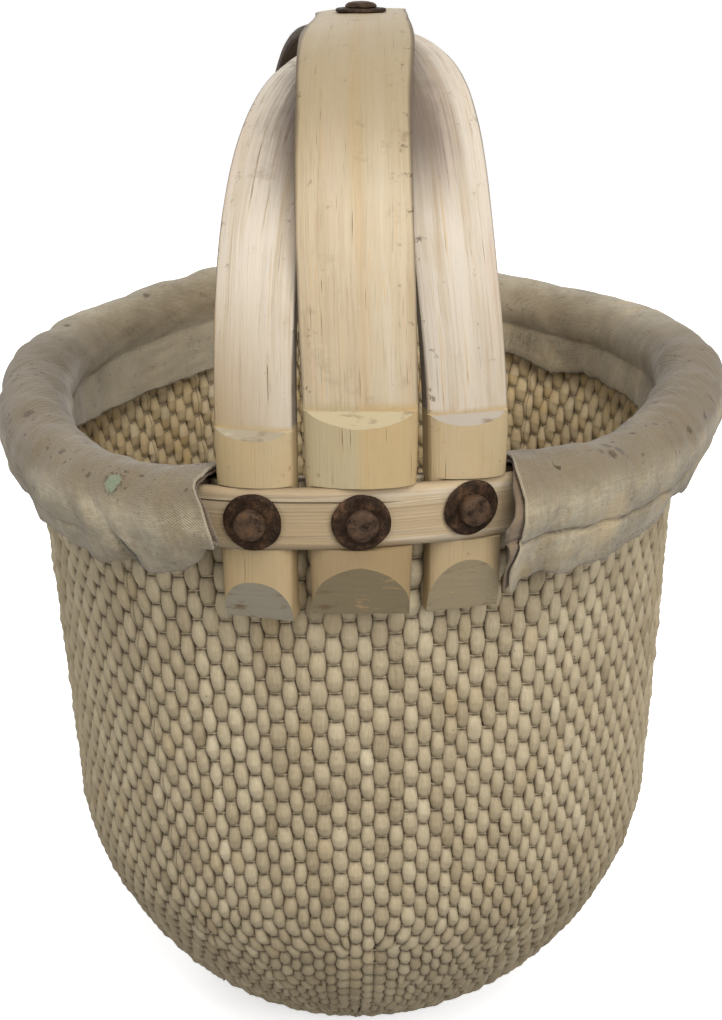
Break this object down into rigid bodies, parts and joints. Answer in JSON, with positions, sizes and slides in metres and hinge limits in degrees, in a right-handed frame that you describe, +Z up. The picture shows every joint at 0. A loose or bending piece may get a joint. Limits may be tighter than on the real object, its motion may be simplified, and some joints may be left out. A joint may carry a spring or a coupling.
{
  "type": "willow basket",
  "caption": "Tall round-bottomed basket of woven willow rods with a cloth-bound rim, and bent wooden handles that cross over the top, hooped and nailed at their feet.",
  "frame": {"origin": "on the surface that the basket stands on, under the middle of its bounding box", "axes": "+Z up; -Y is the front, where one end of the handles is; +X to the right seen from the front"},
  "size_m": [0.4452, 0.4784, 0.6693],
  "materials": {
    "willow": "matte, worn",
    "handle_wood": "smooth, hand worn",
    "hoop_wood": "split, matte",
    "rim_cloth": "worn plain cotton",
    "rim_padding": "layered rag",
    "iron": "rusted, hand forged"
  },
  "bodies": {
    "root": {"woven_body": "willow", "inner_hoop": "hoop_wood", "outer_hoop": "hoop_wood", "handle_left": "handle_wood", "handle_right": "handle_wood", "handle_center": "handle_wood", "washer_front_left": "iron", "nail_front_left": "iron", "rove_front_left": "iron", "washer_front_center": "iron", "nail_front_center": "iron", "rove_front_center": "iron", "washer_front_right": "iron", "nail_front_right": "iron", "rove_front_right": "iron", "washer_back_left": "iron", "nail_back_left": "iron", "rove_back_left": "iron", "washer_back_center": "iron", "nail_back_center": "iron", "rove_back_center": "iron", "washer_back_right": "iron", "nail_back_right": "iron", "rove_back_right": "iron", "crown_washer": "iron", "crown_rivet": "iron", "crown_rove": "iron", "rim_padding_left": "rim_padding", "rim_cloth_left": "rim_cloth", "rim_padding_right": "rim_padding", "rim_cloth_right": "rim_cloth", "base_stud_1": "iron", "base_stud_2": "iron", "base_stud_3": "iron", "base_stud_4": "iron", "base_stud_5": "iron", "base_stud_6": "iron", "base_stud_7": "iron", "base_stud_8": "iron", "base_stud_9": "iron", "base_stud_10": "iron"}
  },
  "joints": []
}
